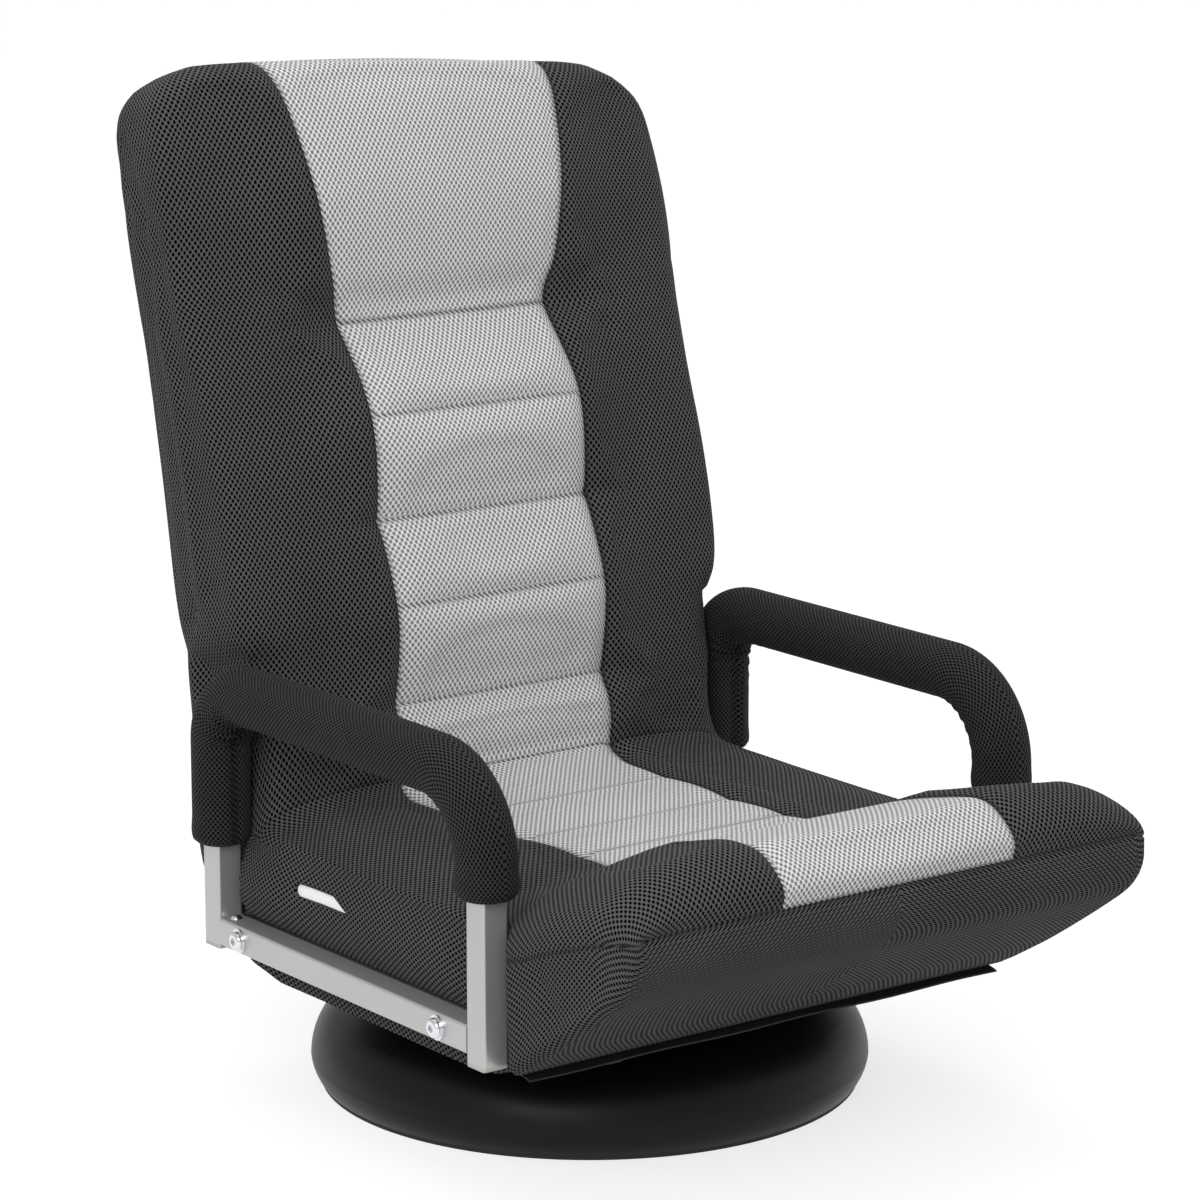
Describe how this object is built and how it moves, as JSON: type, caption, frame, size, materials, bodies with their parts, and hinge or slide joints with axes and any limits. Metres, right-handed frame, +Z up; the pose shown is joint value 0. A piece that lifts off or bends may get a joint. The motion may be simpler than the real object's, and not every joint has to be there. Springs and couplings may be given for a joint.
{
  "type": "floor gaming chair",
  "caption": "Low swivel floor chair with a ratchet recliner back, channelled mesh cushions, raised front lip, looped padded arms and a round pan base.",
  "frame": {"origin": "on the floor at the swivel axis, the middle of the floor pad's underside", "axes": "+Z up along the swivel axis, the sitter faces -Y, +X is the sitter's left"},
  "size_m": [0.486, 0.6325, 0.7041],
  "materials": {
    "base_black": "satin powder coat",
    "pad_rubber": "matt",
    "frame_silver": "satin powder coat",
    "cap_grey": "matt",
    "bolt_chrome": "bright",
    "mesh_black": "spacer mesh",
    "mesh_grey": "spacer mesh",
    "cover_cloth": "non-woven",
    "zip_black": "coil zip",
    "frame_black": "semi-gloss",
    "bare_steel": "zinc plated"
  },
  "bodies": {
    "base": {"floor_pad": "pad_rubber", "base_pan": "base_black", "swivel_lower_plate": "bare_steel", "swivel_base_screws": "bare_steel", "swivel_base_nuts": "bare_steel"},
    "ball_ring": {"swivel_balls": "bare_steel", "swivel_cage": "bare_steel"},
    "seat": {"arm_bolts": "bolt_chrome", "arm_end_caps": "cap_grey", "arm_hoop_left": "frame_silver", "arm_hoop_right": "frame_silver", "arm_nuts": "bare_steel", "arm_pad_left": "mesh_black", "arm_pad_right": "mesh_black", "arm_rail_left": "frame_silver", "arm_rail_right": "frame_silver", "arm_washers": "bolt_chrome", "hinge_bolts": "bare_steel", "hinge_inner_cheek_left": "bare_steel", "hinge_inner_cheek_right": "bare_steel", "hinge_outer_cheek_left": "bare_steel", "hinge_outer_cheek_right": "bare_steel", "hinge_pins": "bare_steel", "hinge_spacers": "bare_steel", "pawl_pins": "bare_steel", "pawl_springs": "bare_steel", "rail_dome_screws": "bolt_chrome", "seat_bolster_left": "mesh_black", "seat_bolster_right": "mesh_black", "seat_centre_pad": "mesh_grey", "seat_cross_tube_front": "frame_black", "seat_cross_tube_rear": "frame_black", "seat_dust_cover": "cover_cloth", "seat_front_loop": "frame_black", "seat_front_tube": "frame_black", "seat_lip_pad": "mesh_grey", "seat_mount_bolts": "bare_steel", "seat_mount_nuts": "bare_steel", "seat_mount_plate": "frame_black", "seat_side_tube_left": "frame_black", "seat_side_tube_right": "frame_black", "seat_under_foam": "mesh_black", "seat_zip": "zip_black", "swivel_upper_plate": "bare_steel"},
    "back": {"back_arm_nuts": "bare_steel", "back_arm_screws": "bare_steel", "back_bolster_left": "mesh_black", "back_bolster_right": "mesh_black", "back_centre_pad": "mesh_grey", "back_head_pad": "mesh_grey", "back_lumbar_tube": "frame_black", "back_rear_foam": "mesh_black", "back_top_tube": "frame_black", "back_upright_left": "frame_black", "back_upright_right": "frame_black", "ratchet_arm_left": "bare_steel", "ratchet_arm_right": "bare_steel"},
    "pawl_left": {"pawl_left": "bare_steel"},
    "pawl_right": {"pawl_right": "bare_steel"}
  },
  "joints": [
    {"name": "swivel", "type": "hinge", "parent": "base", "child": "seat", "pos_m": [0, 0, 0.076], "axis": [0, 0, 1], "continuous": true},
    {"name": "ball_ring_turn", "type": "hinge", "parent": "base", "child": "ball_ring", "pos_m": [0, 0, 0.076], "axis": [0, 0, 1], "continuous": true},
    {"name": "recline", "type": "hinge", "parent": "seat", "child": "back", "pos_m": [0, 0.15, 0.172], "axis": [-1, 0, 0], "range_deg": [-12.86, 77.14]},
    {"name": "pawl_left_turn", "type": "hinge", "parent": "seat", "child": "pawl_left", "pos_m": [0.1866, 0.12836, 0.13322], "axis": [1, 0, 0], "range_deg": [-10, 0]},
    {"name": "pawl_right_turn", "type": "hinge", "parent": "seat", "child": "pawl_right", "pos_m": [-0.1866, 0.12836, 0.13322], "axis": [1, 0, 0], "range_deg": [-10, 0]}
  ],
  "couplings": [
    {"joint": "ball_ring_turn", "follows": "swivel", "ratio": 0.5}
  ]
}
